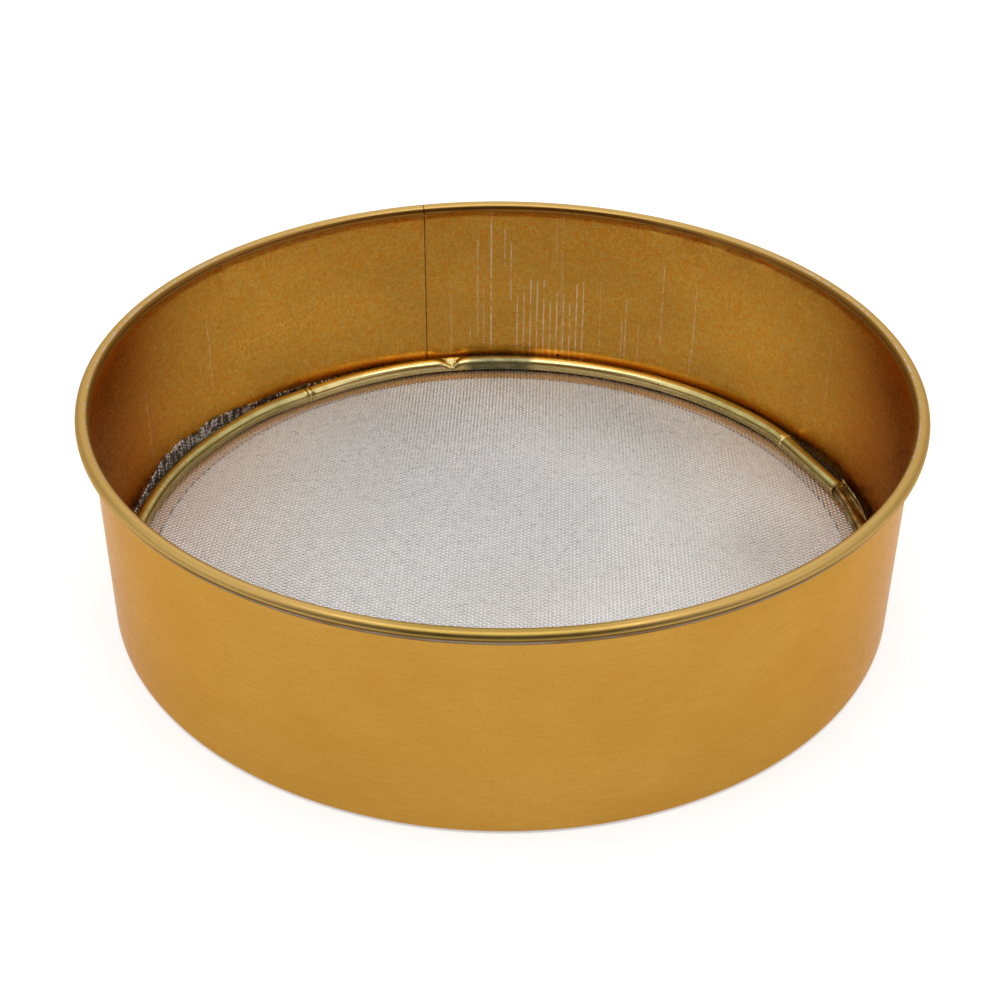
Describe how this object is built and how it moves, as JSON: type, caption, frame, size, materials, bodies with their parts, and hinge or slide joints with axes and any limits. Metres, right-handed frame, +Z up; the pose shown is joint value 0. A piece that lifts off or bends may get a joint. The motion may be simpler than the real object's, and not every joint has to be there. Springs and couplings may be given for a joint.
{
  "type": "soil sieve",
  "caption": "Round gold metal soil sieve: a thin hoop with a beaded rim, and wire mesh held at its base by a sprung tube ring.",
  "frame": {"origin": "on the hoop's axis, at the flat underside of the bottom ledge", "axes": "+Z up along the hoop's axis, from the mesh to the open beaded rim; +Y towards the hoop's upright seam side"},
  "size_m": [0.2074, 0.2074, 0.0576],
  "materials": {
    "gold_hoop": "satin gold coating on thin sheet, faintly brushed round the hoop",
    "steel_wire": "plain woven bright wire",
    "brass_tube": "polished"
  },
  "bodies": {
    "root": {"sieve_frame": "gold_hoop", "wire_mesh": "steel_wire", "retaining_ring": "brass_tube", "ring_joint_sleeve": "brass_tube"}
  },
  "joints": []
}
